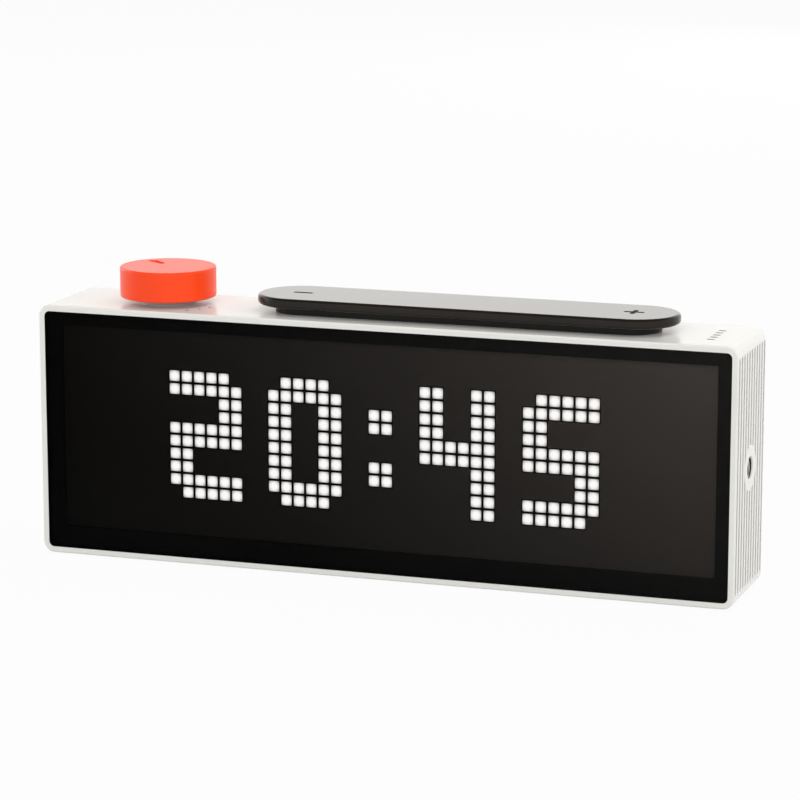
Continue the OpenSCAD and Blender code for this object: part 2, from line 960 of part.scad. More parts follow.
// Plunger of the encoder's push switch
module encoder_plunger() {
  color("gold")
    flat(shaft_low - plunger_h, shaft_low, knob_x)
      circle(d = plunger_d);
}

// Encoder shaft, with a flat where the knob grips it
module encoder_shaft() {
  color("silver")
  difference() {
    flat(shaft_low, shaft_top, knob_x)
      circle(d = shaft_d);
    translate([knob_x + shaft_d / 2 - flat_cut, -shaft_d, hub_z])
      cube([shaft_d, 2 * shaft_d, shaft_top]);
  }
}

// Cutter for the pointer notch: its floor falls from a low lip to a steep side
module pointer_cutter() {
  intersection() {
    flat(-pointer_depth - cut, cut)
      stadium(pointer_l, pointer_w);
    translate([-pointer_l, pointer_w / 2, -pointer_lip])
      rotate([pointer_slope, 0, 0])
        translate([0, -2 * pointer_w, 0])
          cube([2 * pointer_l, 3 * pointer_w, pointer_w]);
  }
}

// Knob: a turned cap with a hub that fits the flat on the shaft, and a pointer notch
module knob() {
  color("orangered")
  difference() {
    translate([knob_x, 0, knob_z])
      rotate_extrude()
        difference() {
          union() {
            square([knob_r - knob_edge_r, knob_h]);
            translate([0, knob_edge_r])
              square([knob_r, knob_h - 2 * knob_edge_r]);
            for (v = [knob_edge_r, knob_h - knob_edge_r])
              translate([knob_r - knob_edge_r, v])
                circle(knob_edge_r);
          }
          translate([hub_d / 2, -cut])
            square([knob_r - knob_wall - hub_d / 2, knob_h - roof_t + cut]);
          translate([-cut, -cut])
            square([hub_d / 2 + 2 * cut, hub_z - knob_z + cut]);
        }
    difference() {
      flat(hub_z - cut, knob_top - roof_t, knob_x)
        circle(d = shaft_d);
      translate([knob_x + shaft_d / 2 - flat_cut, -shaft_d, hub_z - 2 * cut])
        cube([shaft_d, 2 * shaft_d, knob_h]);
    }
    translate([knob_x, 0, knob_top])
      rotate(pointer_angle)
        translate([pointer_reach, 0, 0])
          pointer_cutter();
  }
}

// Rocker key: a thin rounded plate with a hinge lug and two posts
module rocker_key() {
  color([0.13, 0.13, 0.13])
  difference() {
    union() {
      translate([key_x, 0, key_z]) {
        for (turn = [0, 180])
          rotate([0, 0, turn])
            translate([-(key_l - key_w) / 2, 0, 0])
              rotate([90, 0, 90])
                linear_extrude(key_l - key_w)
                  key_section();
        for (turn = [90, 270])
          rotate([0, 0, turn])
            translate([0, -(key_l - key_w) / 2, 0])
              rotate_extrude(angle = -180)
                key_section();
      }
      flat(pin_z, key_z + key_t / 2, key_x)
        square([lug_l, lug_w], center = true);
      pin_bar(lug_l, lug_w);
      at_posts()
        flat(rocker_board_z + circuit_t + switch_h + button_h + switch_gap, key_z + key_t / 2)
          circle(d = post_d);
    }
    pin_bar(pin_d + 2 * run_gap, 2 * lug_w);
  }
}

// Half section of the rocker key's plate, from its middle line to its rounded edge
module key_section() {
  square([key_w / 2 - key_edge_r, key_t]);
  translate([0, key_edge_r])
    square([key_w / 2, key_t - 2 * key_edge_r]);
  for (v = [key_edge_r, key_t - key_edge_r])
    translate([key_w / 2 - key_edge_r, v])
      circle(key_edge_r);
}

housing();
rear_cover();
front_panel();
panel_tape();
diffuser();
column_baffle();
row_baffle();
led_board();
main_board();
wireless_module();
usb_port();
led_ribbon();
battery();
battery_pad();
speaker_frame();
speaker_cone();
encoder_body();
encoder_washer();
encoder_nut();
encoder_board();
knob_collar();
rocker_base();
rocker_pin();
rocker_board();
rocker_switches();
sensor_board();
mount_insert();
cover_screws();
board_screws();
feet();
encoder_plunger();
encoder_shaft();
knob();
rocker_key();
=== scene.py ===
import math
import bpy
import bmesh
from mathutils import Matrix, Vector


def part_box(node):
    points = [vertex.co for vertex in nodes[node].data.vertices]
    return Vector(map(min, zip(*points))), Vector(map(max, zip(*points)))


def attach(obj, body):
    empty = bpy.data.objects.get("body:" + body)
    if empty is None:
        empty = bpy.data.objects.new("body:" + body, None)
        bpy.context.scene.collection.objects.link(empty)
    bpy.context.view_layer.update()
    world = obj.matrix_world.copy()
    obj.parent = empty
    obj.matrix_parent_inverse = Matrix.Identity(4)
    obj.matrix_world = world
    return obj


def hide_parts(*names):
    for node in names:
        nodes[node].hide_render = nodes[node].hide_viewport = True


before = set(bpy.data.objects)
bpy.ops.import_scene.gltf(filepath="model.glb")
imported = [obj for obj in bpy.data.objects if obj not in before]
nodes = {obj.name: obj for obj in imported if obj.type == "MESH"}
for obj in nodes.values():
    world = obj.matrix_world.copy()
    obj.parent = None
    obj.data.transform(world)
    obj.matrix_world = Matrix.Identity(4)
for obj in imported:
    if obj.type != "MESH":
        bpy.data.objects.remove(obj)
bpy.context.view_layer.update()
mm = 0.001
print("frame: loaded", len(nodes), "nodes")


# Shader steps that the finishes share
noiseDetail = {"mottle": 4.0, "spread": 3.0, "grain": 2.0, "sheen": 3.0}
mottleEnds = (0.3, 0.7)  # where the noise turns fully dark and fully light
evenly = (1, 1, 1)


def mathStep(tree, operation, first, second=None):
    step = tree.nodes.new("ShaderNodeMath")
    step.operation = operation
    for socket, value in zip(step.inputs, (first, second)):
        if isinstance(value, (int, float)):
            socket.default_value = value
        elif value is not None:
            tree.links.new(value, socket)
    return step.outputs["Value"]


def vectorStep(tree, operation, first, second=None):
    step = tree.nodes.new("ShaderNodeVectorMath")
    step.operation = operation
    tree.links.new(first, step.inputs[0])
    if second is not None:
        step.inputs[1].default_value = second
    return step


def rangeStep(tree, value, source, target):
    step = tree.nodes.new("ShaderNodeMapRange")
    for socket, limit in zip(("From Min", "From Max", "To Min", "To Max"), (*source, *target)):
        step.inputs[socket].default_value = limit
    tree.links.new(value, step.inputs["Value"])
    return step


def placeOn(tree, coordinate="Object"):
    place = tree.nodes.new("ShaderNodeTexCoord")
    split = tree.nodes.new("ShaderNodeSeparateXYZ")
    tree.links.new(place.outputs[coordinate], split.inputs["Vector"])
    return split.outputs


def noiseOn(tree, scale, detail, stretch=evenly):
    place = tree.nodes.new("ShaderNodeTexCoord")
    mapping = tree.nodes.new("ShaderNodeMapping")
    mapping.inputs["Scale"].default_value = stretch
    noise = tree.nodes.new("ShaderNodeTexNoise")
    noise.inputs["Scale"].default_value = scale
    noise.inputs["Detail"].default_value = detail
    tree.links.new(place.outputs["Object"], mapping.inputs["Vector"])
    tree.links.new(mapping.outputs["Vector"], noise.inputs["Vector"])
    return noise.outputs["Fac"]


def newFinish(name, s):
    finish = bpy.data.materials.new(name)
    finish.use_nodes = True
    shader = finish.node_tree.nodes["Principled BSDF"]
    shader.inputs["Base Color"].default_value = (*s["color"], 1.0)
    shader.inputs["Roughness"].default_value = s.get("roughness", 0.5)
    shader.inputs["Specular IOR Level"].default_value = s.get("specular", 0.5)
    for socket, value in s.get("sockets", {}).items():
        shader.inputs[socket].default_value = value
    return finish, shader


# Dark and light are shares of the finish's colour, or colours of their own
def addMottle(finish, shader, dark, light, scale, stretch=evenly):
    tree = finish.node_tree
    color = shader.inputs["Base Color"].default_value[:3]
    ramp = tree.nodes.new("ShaderNodeValToRGB")
    for i, tone in enumerate((dark, light)):
        if not isinstance(tone, tuple):
            tone = [tone * c for c in color]
        ramp.color_ramp.elements[i].position = mottleEnds[i]
        ramp.color_ramp.elements[i].color = (*tone, 1.0)
    tree.links.new(noiseOn(tree, scale, noiseDetail["mottle"], stretch), ramp.inputs["Fac"])
    tree.links.new(ramp.outputs["Color"], shader.inputs["Base Color"])


def addSpread(finish, shader, low, high, scale, stretch=evenly):
    tree = finish.node_tree
    noise = noiseOn(tree, scale, noiseDetail["spread"], stretch)
    spread = rangeStep(tree, noise, (0, 1), (low, high))
    shader.inputs["Roughness"].default_value = (low + high) / 2
    tree.links.new(spread.outputs["Result"], shader.inputs["Roughness"])


def addGrain(finish, shader, scale, strength, height, stretch=evenly):
    tree = finish.node_tree
    bump = tree.nodes.new("ShaderNodeBump")
    bump.inputs["Strength"].default_value = strength
    bump.inputs["Distance"].default_value = height
    tree.links.new(noiseOn(tree, scale, noiseDetail["grain"], stretch), bump.inputs["Height"])
    tree.links.new(bump.outputs["Normal"], shader.inputs["Normal"])


# A finish in layers: mottled colour, uneven roughness and fine grain
def layeredFinish(name, s):
    finish, shader = newFinish(name, s)
    for layer, add in (("mottle", addMottle), ("spread", addSpread), ("grain", addGrain)):
        if layer in s:
            add(finish, shader, **s[layer])
    return finish


def shaderOf(finish):
    return finish.node_tree.nodes["Principled BSDF"]


def dress(finish, *names):
    for name in names:
        nodes[name].data.materials.clear()
        nodes[name].data.materials.append(finish)


# White sleeve and rear cover: fine moulded grain, with painted shade darkening the flutes
whiteShell = {
    "color": (0.815, 0.803, 0.763), "specular": 0.36,
    "mottle": {"dark": 0.985, "light": 1.0, "scale": 45},
    "spread": {"low": 0.215, "high": 0.262, "scale": 300},
    "grain": {"scale": 2600, "strength": 0.03, "height": 0.03 * mm},
}
# How deep and how dark the painted shade in the flutes goes
paintedFluteShade = {"depth": 0.7 * mm, "tone": 0.33, "end": 4.0 * mm, "edge": 0.9 * mm}


# Painted shade: the floors of the side flutes are darkened in the colour, more with depth, to stand for the
# shade in the grooves
def addPaintedFluteShade(finish):
    s = paintedFluteShade
    low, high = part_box("housing")
    middle = (low + high) / 2
    half = high - middle
    shader = shaderOf(finish)
    tree = finish.node_tree
    place = placeOn(tree)
    reach = []
    for i, axis in enumerate("XYZ"):
        away = mathStep(tree, "SUBTRACT", place[axis], middle[i])
        reach.append(mathStep(tree, "ABSOLUTE", away))
    tone = rangeStep(tree, reach[0], (half.x - s["depth"], half.x), (s["tone"], 1.0))  # painted shade, darker with depth
    inside = mathStep(tree, "MULTIPLY",
                      mathStep(tree, "LESS_THAN", reach[1], half.y - s["edge"]),
                      mathStep(tree, "LESS_THAN", reach[2], half.z - s["end"]))
    shaded = mathStep(tree, "ADD", mathStep(tree, "MULTIPLY", inside, tone.outputs["Result"]),
                      mathStep(tree, "SUBTRACT", 1.0, inside))
    color = vectorStep(tree, "SCALE", shader.inputs["Base Color"].links[0].from_socket)
    tree.links.new(shaded, color.inputs["Scale"])
    tree.links.new(color.outputs["Vector"], shader.inputs["Base Color"])


shellWhite = layeredFinish("shellWhite", whiteShell)
addPaintedFluteShade(shellWhite)
dress(shellWhite, "housing", "rear_cover")


# Painted sheen: the display's colour is lightest at the upper right and falls off towards its left end and
# its bottom, standing in for the reflection of a soft light
paintedDisplaySheen = {"left": 0.29, "right": 1.0, "bottom": 0.73, "top": 1.0, "power": 2.2, "grain": (0.92, 1.08)}


def addPaintedSheen(finish, color, scale):
    s = paintedDisplaySheen
    low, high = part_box("diffuser")
    tree = finish.node_tree
    place = placeOn(tree)
    across = rangeStep(tree, place["X"], (low.x, high.x), (s["left"], s["right"]))
    upward = rangeStep(tree, place["Z"], (low.z, high.z), (s["bottom"], s["top"]))
    noise = noiseOn(tree, scale, noiseDetail["sheen"])
    grain = rangeStep(tree, noise, (0, 1), s["grain"])
    both = mathStep(tree, "MULTIPLY", across.outputs["Result"], upward.outputs["Result"])
    level = mathStep(tree, "MULTIPLY", mathStep(tree, "POWER", both, s["power"]), grain.outputs["Result"])
    ramp = tree.nodes.new("ShaderNodeValToRGB")
    ramp.color_ramp.elements[0].color = (0, 0, 0, 1)
    ramp.color_ramp.elements[1].color = (*color, 1)
    tree.links.new(level, ramp.inputs["Fac"])
    tree.links.new(ramp.outputs["Color"], shaderOf(finish).inputs["Base Color"])


# Smoked front panel: the light behind it comes through, its own face reflects little, and its colour holds a
# painted sheen
smokedPanel = {
    "color": (0.0225, 0.0213, 0.02), "roughness": 0.3, "specular": 0.06, "sockets": {"Alpha": 0.42},
    "paintedSheenGrain": 30,
}
# Frosted film behind the panel, which shows as the lighter window; its colour holds a painted sheen that
# falls off to the left and the bottom
diffuserFilm = {
    "color": (0.304, 0.26, 0.23), "specular": 0.15, "spread": {"low": 0.5, "high": 0.6, "scale": 700},
    "paintedSheenGrain": 900,
}


# A layered finish whose colour carries the painted sheen
def paintedSheenFinish(name, s):
    finish = layeredFinish(name, s)
    addPaintedSheen(finish, s["color"], s["paintedSheenGrain"])
    return finish


dress(paintedSheenFinish("panelSmoked", smokedPanel), "front_panel")
dress(paintedSheenFinish("filmFrosted", diffuserFilm), "diffuser")


# Dark plastics: one baffle and the base of the key, then the matt tape and the other baffle
darkPlastic = {
    "color": (0.009, 0.0082, 0.0078), "specular": 0.2,
    "mottle": {"dark": 0.8, "light": 1.2, "scale": 60},
    "spread": {"low": 0.3, "high": 0.4, "scale": 400},
    "grain": {"scale": 2200, "strength": 0.08, "height": 0.02 * mm},
}
mattTape = {
    "color": (0.004, 0.004, 0.004), "roughness": 0.8, "specular": 0.15,
    "mottle": {"dark": 0.75, "light": 1.25, "scale": 400},
    "grain": {"scale": 1800, "strength": 0.2, "height": 0.02 * mm},
}
blackTape = layeredFinish("tapeBlack", mattTape)
dress(layeredFinish("plasticDark", darkPlastic), "row_baffle", "rocker_base")
dress(blackTape, "panel_tape", "column_baffle")


# Rocker key: smooth satin black with a clear coat
rockerBlack = {
    "color": (0.0135, 0.0103, 0.0086),
    "sockets": {"IOR": 1.2, "Coat Weight": 1.0, "Coat IOR": 1.2, "Coat Roughness": 0.2},
    "mottle": {"dark": 0.85, "light": 1.15, "scale": 120},
    "spread": {"low": 0.285, "high": 0.315, "scale": 500},
    "grain": {"scale": 2600, "strength": 0.02, "height": 0.02 * mm},
}
dress(layeredFinish("rockerSatin", rockerBlack), "rocker_key")


# Orange knob, and the turned collar under it
knobOrange = {
    "color": (1.0, 0.064, 0.008), "specular": 0.32,
    "mottle": {"dark": 0.97, "light": 1.0, "scale": 70},
    "spread": {"low": 0.3, "high": 0.37, "scale": 350},
    "grain": {"scale": 3000, "strength": 0.08, "height": 0.02 * mm},
}
collarGrey = {
    "color": (0.53, 0.51, 0.485),
    "mottle": {"dark": (0.495, 0.475, 0.45), "light": (0.55, 0.53, 0.505), "scale": 200,
               "stretch": (1, 1, 8)},
    "spread": {"low": 0.3, "high": 0.42, "scale": 600, "stretch": (1, 1, 8)},
    "grain": {"scale": 2600, "strength": 0.1, "height": 0.02 * mm},
}
dress(layeredFinish("knobOrange", knobOrange), "knob")
dress(layeredFinish("collarGrey", collarGrey), "knob_collar")


# Metals: plated steel, turned brass, and the steel insert darkened as painted shade for its deep hole, with
# its bright thread
metalWork = {
    "shade": 0.88, "mottleScale": 500, "spreadScale": 900,
    "grainScale": 2400, "grainStrength": 0.08, "grainHeight": 0.01 * mm, "turned": (8, 1, 1),
}


def metalFinish(name, color, low, high, stretch=evenly):
    m = metalWork
    return layeredFinish(name, {
        "color": color, "sockets": {"Metallic": 1.0},
        "mottle": {"dark": m["shade"], "light": 1.0, "scale": m["mottleScale"], "stretch": stretch},
        "spread": {"low": low, "high": high, "scale": m["spreadScale"], "stretch": stretch},
        "grain": {"scale": m["grainScale"], "strength": m["grainStrength"], "height": m["grainHeight"],
                  "stretch": stretch},
    })


steel = metalFinish("steelPlated", (0.6, 0.6, 0.585), 0.285, 0.36)
brass = metalFinish("brassTurned", (0.62, 0.6, 0.56), 0.285, 0.36, metalWork["turned"])
# Steel insert whose dark colour is painted shade, so that its hole reads dark
insertShadeSteel = metalFinish("steelPaintedShade", (0.09, 0.085, 0.08), 0.29, 0.37, metalWork["turned"])
threadSteel = metalFinish("threadBright", (0.8, 0.785, 0.76), 0.42, 0.52, metalWork["turned"])
dress(steel, "wireless_module", "usb_port", "encoder_body", "encoder_washer", "encoder_nut")
dress(steel, "rocker_pin", "rocker_switches", "board_screws", "cover_screws", "encoder_shaft")
dress(brass, "encoder_plunger")
dress(insertShadeSteel, "mount_insert")


# Rubber feet, speaker, boards and the other pieces inside
softRubber = {
    "specular": 0.3, "mottle": {"dark": 0.8, "light": 1.2, "scale": 150},
    "spread": {"low": 0.7, "high": 0.9, "scale": 500},
    "grain": {"scale": 1500, "strength": 0.35, "height": 0.05 * mm},
}
smoothFilm = {
    "mottle": {"dark": 0.9, "light": 1.0, "scale": 80},
    "spread": {"low": 0.36, "high": 0.44, "scale": 250},
    "grain": {"scale": 900, "strength": 0.15, "height": 0.03 * mm},
}
glossWrap = {**smoothFilm, "spread": {"low": 0.225, "high": 0.275, "scale": 250}}
greenBoard = {
    "color": (0.02, 0.11, 0.05),
    "mottle": {"dark": (0.014, 0.085, 0.038), "light": (0.03, 0.15, 0.07), "scale": 260,
               "stretch": (1, 4, 1)},
    "spread": {"low": 0.3, "high": 0.45, "scale": 300},
    "grain": {"scale": 700, "strength": 0.2, "height": 0.05 * mm},
}
dress(layeredFinish("footRubber", {**softRubber, "color": (0.03, 0.03, 0.03)}), "feet")
dress(layeredFinish("padFoam", {**softRubber, "color": (0.06, 0.06, 0.06)}), "battery_pad", "speaker_cone")
dress(layeredFinish("basketPaint", {**smoothFilm, "color": (0.08, 0.08, 0.08)}), "speaker_frame")
dress(layeredFinish("ribbonFilm", {**smoothFilm, "color": (0.7, 0.5, 0.25)}), "led_ribbon")
dress(layeredFinish("cellWrap", {**glossWrap, "color": (0.2, 0.24, 0.3)}), "battery")
dress(layeredFinish("boardGreen", greenBoard),
      "led_board", "main_board", "encoder_board", "rocker_board", "sensor_board")
print("finishes: dressed", len(nodes), "nodes")


# Steps that the added pieces share
def meshPiece(name, mesh):
    piece = bpy.data.objects.new(name, mesh)
    bpy.context.scene.collection.objects.link(piece)
    return piece


def closedPiece(name, mesh):
    bmesh.ops.recalc_face_normals(mesh, faces=mesh.faces)
    data = bpy.data.meshes.new(name)
    mesh.to_mesh(data)
    mesh.free()
    return meshPiece(name, data)


def bridge(mesh, a, b):
    for i in range(len(a)):
        j = (i + 1) % len(a)
        mesh.faces.new((a[i], a[j], b[j], b[i]))


def nodeTree(name, sizes):
    tree = bpy.data.node_groups.new(name, "GeometryNodeTree")
    tree.interface.new_socket("Geometry", in_out="INPUT", socket_type="NodeSocketGeometry")
    for label, kind in sizes:
        tree.interface.new_socket(label, in_out="INPUT", socket_type=kind)
    tree.interface.new_socket("Geometry", in_out="OUTPUT", socket_type="NodeSocketGeometry")
    return tree, tree.nodes.new("NodeGroupInput"), tree.nodes.new("NodeGroupOutput")


# One flat face with round corners, filled
def roundedFace(tree, width, height, corner, cornerSteps):
    outline = tree.nodes.new("GeometryNodeCurvePrimitiveQuadrilateral")
    rounded = tree.nodes.new("GeometryNodeFilletCurve")
    rounded.mode = "POLY"
    rounded.inputs["Count"].default_value = cornerSteps
    face = tree.nodes.new("GeometryNodeFillCurve")
    face.mode = "NGONS"
    tree.links.new(width, outline.inputs["Width"])
    tree.links.new(height, outline.inputs["Height"])
    tree.links.new(outline.outputs["Curve"], rounded.inputs["Curve"])
    tree.links.new(corner, rounded.inputs["Radius"])
    tree.links.new(rounded.outputs["Curve"], face.inputs["Curve"])
    return face.outputs["Mesh"]


def spreadOn(tree, start, shape):
    spread = tree.nodes.new("GeometryNodeInstanceOnPoints")
    tree.links.new(start.outputs["Geometry"], spread.inputs["Points"])
    tree.links.new(shape, spread.inputs["Instance"])
    return spread.outputs["Instances"]


def endTree(tree, start, end, geometry):
    realize = tree.nodes.new("GeometryNodeRealizeInstances")
    paint = tree.nodes.new("GeometryNodeSetMaterial")
    tree.links.new(geometry, realize.inputs["Geometry"])
    tree.links.new(realize.outputs["Geometry"], paint.inputs["Geometry"])
    tree.links.new(start.outputs["Finish"], paint.inputs["Material"])
    tree.links.new(paint.outputs["Geometry"], end.inputs["Geometry"])


def growTree(name, points, tree, values):
    mesh = bpy.data.meshes.new(name + "Points")
    mesh.from_pydata(points, [], [])
    seed = meshPiece(name + "Seed", mesh)
    modifier = seed.modifiers.new(name, "NODES")
    modifier.node_group = tree
    for item in tree.interface.items_tree:
        if item.in_out == "INPUT" and item.name in values:
            modifier[item.identifier] = values[item.name]
    seed.update_tag()
    graph = bpy.context.evaluated_depsgraph_get()
    grown = bpy.data.meshes.new_from_object(seed.evaluated_get(graph))
    grown.name = name
    bpy.data.objects.remove(seed)
    return meshPiece(name, grown)


# Lit pixels: a time in plain figures, one tile for each lit cell
litPixels = {
    "time": "20:45", "pitch": 4 * mm, "columns": 52, "rows": 16,
    "tile": 3.25 * mm, "corner": 0.25 * mm, "backCorner": 0.025 * mm, "cornerSteps": 3,
    "stroke": 2, "figureWidth": 6, "figureHeight": 10, "gap": 2, "topRow": 3, "colonRows": (2, 3, 6, 7),
    "lift": 0.03 * mm, "backLift": 0.015 * mm, "nudge": (-0.16 * mm, -0.22 * mm),
}
pixelLight = {
    "color": (0.06, 0.059, 0.058), "roughness": 0.6, "specular": 0.1, "sockets": {"Emission Strength": 2.85},
    "glow": (1.0, 0.985, 0.965), "dim": (0.03, 0.029, 0.028), "fall": (0.18, 0.66), "edge": 0.06,
}
figureBars = {
    "0": "abcdef", "1": "bc", "2": "abged", "3": "abgcd", "4": "fgbc",
    "5": "afgcd", "6": "afgedc", "7": "abc", "8": "abcdefg", "9": "abcdfg",
}


def figureCells(sign):
    s = litPixels
    if sign == ":":
        dots = [(c, r) for c in range(s["stroke"]) for r in s["colonRows"]]
        return dots, s["stroke"]
    w, h, t = s["figureWidth"], s["figureHeight"], s["stroke"]
    middle = (h - t) // 2
    boxes = {
        "a": (0, 0, w, t), "d": (0, h - t, w, t), "g": (0, middle, w, t),
        "f": (0, 0, t, middle + t), "e": (0, middle, t, h - middle),
        "b": (w - t, 0, t, middle + t), "c": (w - t, middle, t, h - middle),
    }
    cells = set()
    for bar in figureBars[sign]:
        x, y, wide, tall = boxes[bar]
        cells |= {(c, r) for c in range(x, x + wide) for r in range(y, y + tall)}
    corners = {(0, 0): "af", (w - 1, 0): "ab", (0, h - 1): "de", (w - 1, h - 1): "dc"}
    for cell, pair in corners.items():
        if all(bar in figureBars[sign] for bar in pair):
            cells.discard(cell)  # round corners lose their outer cell
    return sorted(cells), w


def displayMiddle():
    low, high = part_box("diffuser")
    middle = (low + high) / 2
    x, z = litPixels["nudge"]
    return middle.x + x, low.y, middle.z + z


def litPoints(lift):
    s = litPixels
    middleX, face, middleZ = displayMiddle()
    signs = [figureCells(sign) for sign in s["time"]]
    span = sum(width for _, width in signs) + s["gap"] * (len(signs) - 1)
    column = (s["columns"] - span) // 2
    points = []
    for cells, width in signs:
        for c, r in cells:
            x = middleX + (column + c + 0.5 - s["columns"] / 2) * s["pitch"]
            z = middleZ + (s["rows"] / 2 - s["topRow"] - r - 0.5) * s["pitch"]
            points.append((x, face - lift, z))
        column += width + s["gap"]
    return points


def litFinish():
    s, pitch = pixelLight, litPixels["pitch"]
    middleX, _, middleZ = displayMiddle()
    finish, shader = newFinish("pixelLight", s)
    tree = finish.node_tree
    place = tree.nodes.new("ShaderNodeTexCoord")
    cell = tree.nodes.new("ShaderNodeMapping")  # one unit for each cell, whole numbers on the walls
    cell.inputs["Location"].default_value = (-middleX / pitch, 0, -middleZ / pitch)
    cell.inputs["Scale"].default_value = (1 / pitch, 0, 1 / pitch)
    tree.links.new(place.outputs["Object"], cell.inputs["Vector"])
    part = vectorStep(tree, "FRACTION", cell.outputs["Vector"])
    centred = vectorStep(tree, "SUBTRACT", part.outputs["Vector"], (0.5, 0, 0.5))
    reach = vectorStep(tree, "LENGTH", centred.outputs["Vector"])
    fall = rangeStep(tree, reach.outputs["Value"], s["fall"], (1.0, s["edge"]))
    fall.interpolation_type = "SMOOTHSTEP"
    glow = tree.nodes.new("ShaderNodeValToRGB")
    glow.color_ramp.elements[0].color = (*s["dim"], 1.0)
    glow.color_ramp.elements[1].color = (*s["glow"], 1.0)
    tree.links.new(fall.outputs["Result"], glow.inputs["Fac"])
    tree.links.new(glow.outputs["Color"], shader.inputs["Emission Color"])
    return finish


def tileTree():
    tree, start, end = nodeTree("litTiles", [
        ("Tile", "NodeSocketFloat"), ("Corner", "NodeSocketFloat"), ("Finish", "NodeSocketMaterial")])
    tile, corner = start.outputs["Tile"], start.outputs["Corner"]
    turn = tree.nodes.new("GeometryNodeTransform")  # tiles face the front
    turn.inputs["Rotation"].default_value = (math.radians(90), 0, 0)
    face = roundedFace(tree, tile, tile, corner, litPixels["cornerSteps"])
    tree.links.new(face, turn.inputs["Geometry"])
    endTree(tree, start, end, spreadOn(tree, start, turn.outputs["Geometry"]))
    return tree


def makeLitPixels():
    s = litPixels
    tree = tileTree()
    backs = growTree("pixel_backs", litPoints(s["backLift"]), tree, {
        "Tile": s["pitch"], "Corner": s["backCorner"], "Finish": blackTape})
    tiles = growTree("lit_pixels", litPoints(s["lift"]), tree, {
        "Tile": s["tile"], "Corner": s["corner"], "Finish": litFinish()})
    for piece in (backs, tiles):
        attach(piece, "case")
    print("lit pixels:", len(tiles.data.polygons), "tiles")


makeLitPixels()


# Black print on the back of the front panel, and black paint round its edges
panelBorder = {
    "corner": 1.55 * mm, "innerCorner": 0.2 * mm, "steps": 8, "frontInset": 0.05 * mm, "margin": 0.3 * mm,
    "paint": (0.02 * mm, 0.06 * mm), "print": (0.03 * mm, 0.01 * mm),
}
printBlack = {
    "color": (0.002, 0.002, 0.002), "specular": 0.04,
    "mottle": {"dark": 0.7, "light": 1.3, "scale": 300},
    "spread": {"low": 0.55, "high": 0.7, "scale": 500},
}


def roundedLoop(low, high, corner, grow, depth):
    steps = panelBorder["steps"]
    loop = []
    for quarter, (sx, sz) in enumerate(((1, 1), (-1, 1), (-1, -1), (1, -1))):
        x = (high.x - corner) if sx > 0 else (low.x + corner)
        z = (high.z - corner) if sz > 0 else (low.z + corner)
        for i in range(steps + 1):
            angle = math.pi / 2 * (quarter + i / steps)
            loop.append((x + (corner + grow) * math.cos(angle), depth, z + (corner + grow) * math.sin(angle)))
    return loop


def makePanelBorder():
    s = panelBorder
    panel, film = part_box("front_panel"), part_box("diffuser")
    front = panel[0].y + s["frontInset"]
    near, far = (panel[1].y - depth for depth in s["print"])
    inner, outer = s["paint"]
    loops = [
        roundedLoop(*panel, s["corner"], outer, front), roundedLoop(*panel, s["corner"], outer, far),
        roundedLoop(*film, s["innerCorner"], s["margin"], far),
        roundedLoop(*film, s["innerCorner"], s["margin"], near),
        roundedLoop(*panel, s["corner"], inner, near), roundedLoop(*panel, s["corner"], inner, front),
    ]
    mesh = bmesh.new()
    rings = [[mesh.verts.new(point) for point in loop] for loop in loops]
    for a, b in zip(rings, rings[1:] + rings[:1]):
        bridge(mesh, a, b)
    piece = closedPiece("panel_border", mesh)
    piece.data.materials.append(layeredFinish("printBlack", printBlack))
    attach(piece, "case")
    print("panel border:", len(piece.data.polygons), "faces")


makePanelBorder()


# Minus and plus signs, inlaid in the top of the rocker key
keySigns = {
    "minus": -51.6 * mm, "plus": 51.6 * mm, "length": 6.3 * mm, "width": 1.45 * mm,
    "rise": 0.03 * mm, "depth": 0.2 * mm, "steps": 6,
}
signInk = {
    "color": (0.042, 0.042, 0.042), "specular": 0.04,
    "mottle": {"dark": (0.037, 0.037, 0.037), "light": (0.047, 0.047, 0.047), "scale": 900},
    "spread": {"low": 0.65, "high": 0.85, "scale": 900},
}


def addSign(mesh, center, arms):
    s = keySigns
    half = s["width"] / 2
    outline = []
    for arm in range(arms):
        spin = Matrix.Rotation(2 * math.pi * arm / arms, 3, "Z")
        for i in range(s["steps"] + 1):
            angle = -math.pi / 2 + math.pi * i / s["steps"]
            along = s["length"] / 2 - half + half * math.cos(angle)
            outline.append(spin @ Vector((along, half * math.sin(angle), 0)))
        if arms > 2:
            outline.append(spin @ Vector((half, half, 0)))  # inner corner between two arms
    upper = [mesh.verts.new(center + p + Vector((0, 0, s["rise"]))) for p in outline]
    lower = [mesh.verts.new(center + p - Vector((0, 0, s["depth"]))) for p in outline]
    mesh.faces.new(upper)
    mesh.faces.new(list(reversed(lower)))
    bridge(mesh, lower, upper)


def makeKeySigns():
    s = keySigns
    low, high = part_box("rocker_key")
    middle = Vector(((low.x + high.x) / 2, 0, high.z))
    mesh = bmesh.new()
    addSign(mesh, middle + Vector((s["minus"], 0, 0)), 2)
    addSign(mesh, middle + Vector((s["plus"], 0, 0)), 4)
    piece = closedPiece("key_signs", mesh)
    piece.data.materials.append(layeredFinish("signInk", signInk))
    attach(piece, "rocker")
    print("key signs: done")


makeKeySigns()


# Thread in the side insert
sideThread = {
    "pitch": 1.27 * mm, "turns": 6.03, "radius": 3.02 * mm, "ridge": 0.42 * mm, "ridgeSides": 4,
    "inset": 0.45 * mm, "steps": 48,
}


